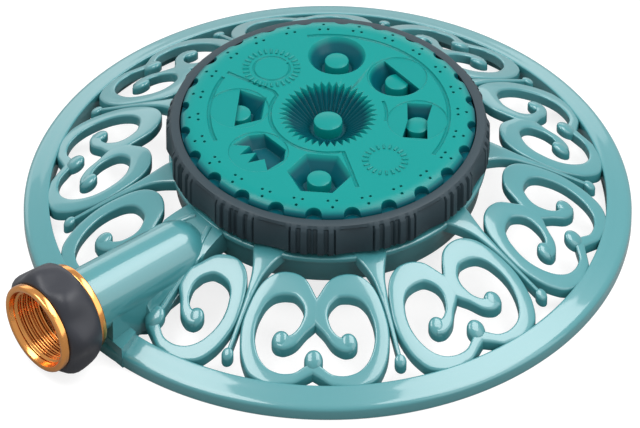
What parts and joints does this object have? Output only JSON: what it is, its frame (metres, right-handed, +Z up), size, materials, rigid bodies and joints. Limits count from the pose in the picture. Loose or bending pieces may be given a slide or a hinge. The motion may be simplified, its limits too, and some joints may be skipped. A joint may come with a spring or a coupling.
{
  "type": "sprinkler",
  "caption": "Ground lawn sprinkler: round cast scrollwork base, rotating multi-pattern spray turret on its hub, and a swivelling female hose coupling.",
  "frame": {"origin": "middle of the object's box at the ground, 12 mm from the turret's axis towards the hose inlet", "axes": "+Z up, along the turret's axis; +X away from the hose inlet, so the coupling's mouth faces -X"},
  "size_m": [0.24, 0.216, 0.0468],
  "materials": {
    "teal_paint": "gloss duck-egg enamel over a zinc casting",
    "teal_plastic": "satin-gloss moulded ABS",
    "charcoal_plastic": "soft matte moulding",
    "grip_rubber": "soft-touch rubber",
    "brass": "bright turned brass",
    "stainless": "drawn stainless wire and turned stainless",
    "seal_rubber": "smooth nitrile",
    "acetal": "natural acetal"
  },
  "bodies": {
    "base": {"base_casting": "teal_paint", "slide_ring": "acetal", "pivot_bush": "acetal", "pivot_spring": "stainless", "pivot_cap": "charcoal_plastic", "port_seal_spring": "stainless", "detent_spring": "stainless", "inlet_nipple": "brass", "nipple_o_ring": "seal_rubber"},
    "turret": {"channel_plate": "teal_plastic", "post_plate": "teal_plastic", "spray_disc": "teal_plastic", "grip_ring": "charcoal_plastic", "pivot_insert": "brass", "pivot_screw": "stainless", "pivot_washer": "stainless"},
    "coupling": {"coupling_nut": "brass", "coupling_grip": "grip_rubber", "hose_washer": "seal_rubber", "filter_screen": "stainless"},
    "seal": {"port_seal": "seal_rubber"},
    "detent": {"detent_ball": "stainless"}
  },
  "joints": [
    {"name": "turret_spin", "type": "hinge", "parent": "base", "child": "turret", "pos_m": [0.012, 0, 0.0302], "axis": [0, 0, 1], "continuous": true},
    {"name": "coupling_spin", "type": "hinge", "parent": "base", "child": "coupling", "pos_m": [-0.1, 0, 0.0202], "axis": [1, 0, 0], "continuous": true},
    {"name": "port_seal_float", "type": "slide", "parent": "base", "child": "seal", "axis": [0, 0, 1], "range_m": [-0.0006, 0], "stiffness_N_per_m": 300, "springref_m": 0.002, "deforming": ["port_seal_spring"]},
    {"name": "detent_travel", "type": "slide", "parent": "base", "child": "detent", "axis": [0, 0, 1], "range_m": [-0.0008, 0.0006], "stiffness_N_per_m": 400, "deforming": ["detent_spring"]}
  ]
}
